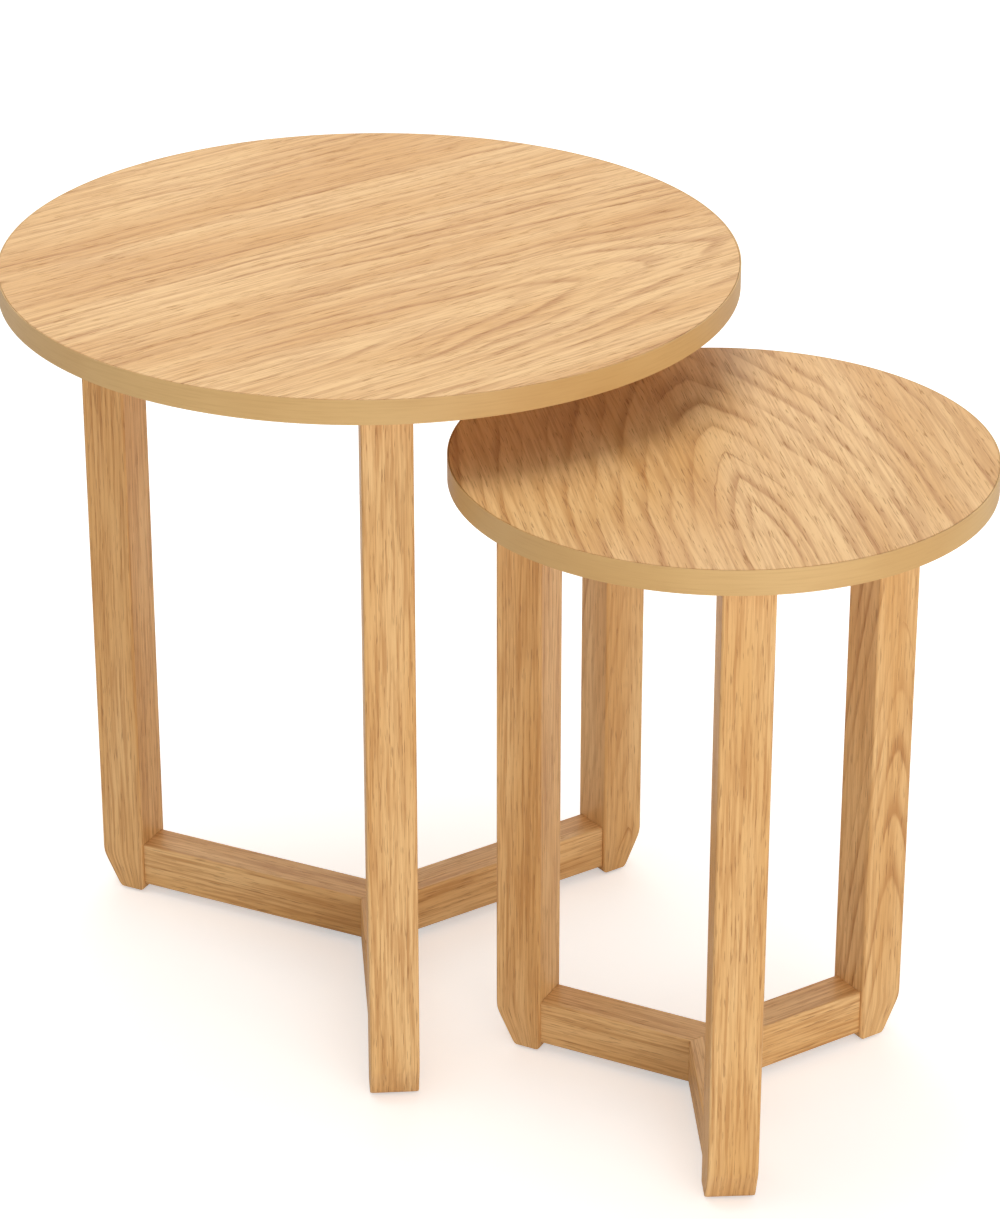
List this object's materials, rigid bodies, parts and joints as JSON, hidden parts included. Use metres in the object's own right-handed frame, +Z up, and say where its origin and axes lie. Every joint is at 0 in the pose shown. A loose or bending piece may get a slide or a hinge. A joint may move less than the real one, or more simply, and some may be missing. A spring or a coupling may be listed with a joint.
{
  "type": "nesting tables",
  "caption": "Round oak nesting tables on straight legs with low mitred Y rails; the smaller one slides under the larger one.",
  "frame": {"origin": "on the floor, under the middle of the box around both tables", "axes": "+Z up; the larger table's front leg points along -Y, and the smaller table stands towards +X and -Y"},
  "size_m": [0.6407, 0.636, 0.533],
  "materials": {
    "oak_veneer": "light natural oak veneer, satin lacquer, open pores",
    "oak": "solid light oak, satin lacquer, straight grain",
    "edge_band": "plain tan edge band, matt",
    "particle_board": "raw particle board",
    "backing_veneer": "plain oak balancing veneer, matt",
    "beech": "fluted beech, raw",
    "steel": "zinc-plated steel",
    "zinc": "die-cast zinc alloy, matt",
    "felt": "pressed brown felt"
  },
  "bodies": {
    "large_table": {"large_top_core": "particle_board", "large_top_face": "oak_veneer", "large_top_backing": "backing_veneer", "large_edge_band": "edge_band", "large_front_leg": "oak", "large_right_leg": "oak", "large_left_leg": "oak", "large_front_rail": "oak", "large_right_rail": "oak", "large_left_rail": "oak", "large_hub_plate": "steel", "large_hub_screws": "steel", "large_cam_bolts": "steel", "large_cam_locks": "zinc", "large_leg_dowels": "beech", "large_rail_dowels": "beech", "large_felt_pads": "felt"},
    "small_table": {"small_top_core": "particle_board", "small_top_face": "oak_veneer", "small_top_backing": "backing_veneer", "small_edge_band": "edge_band", "small_front_leg": "oak", "small_right_leg": "oak", "small_left_leg": "oak", "small_front_rail": "oak", "small_right_rail": "oak", "small_left_rail": "oak", "small_hub_plate": "steel", "small_hub_screws": "steel", "small_cam_bolts": "steel", "small_cam_locks": "zinc", "small_leg_dowels": "beech", "small_rail_dowels": "beech", "small_felt_pads": "felt"}
  },
  "joints": [
    {"name": "nest_slide", "type": "slide", "parent": "large_table", "child": "small_table", "axis": [0.3256, -0.9455, 0], "range_m": [-0.115, 0.2]}
  ]
}
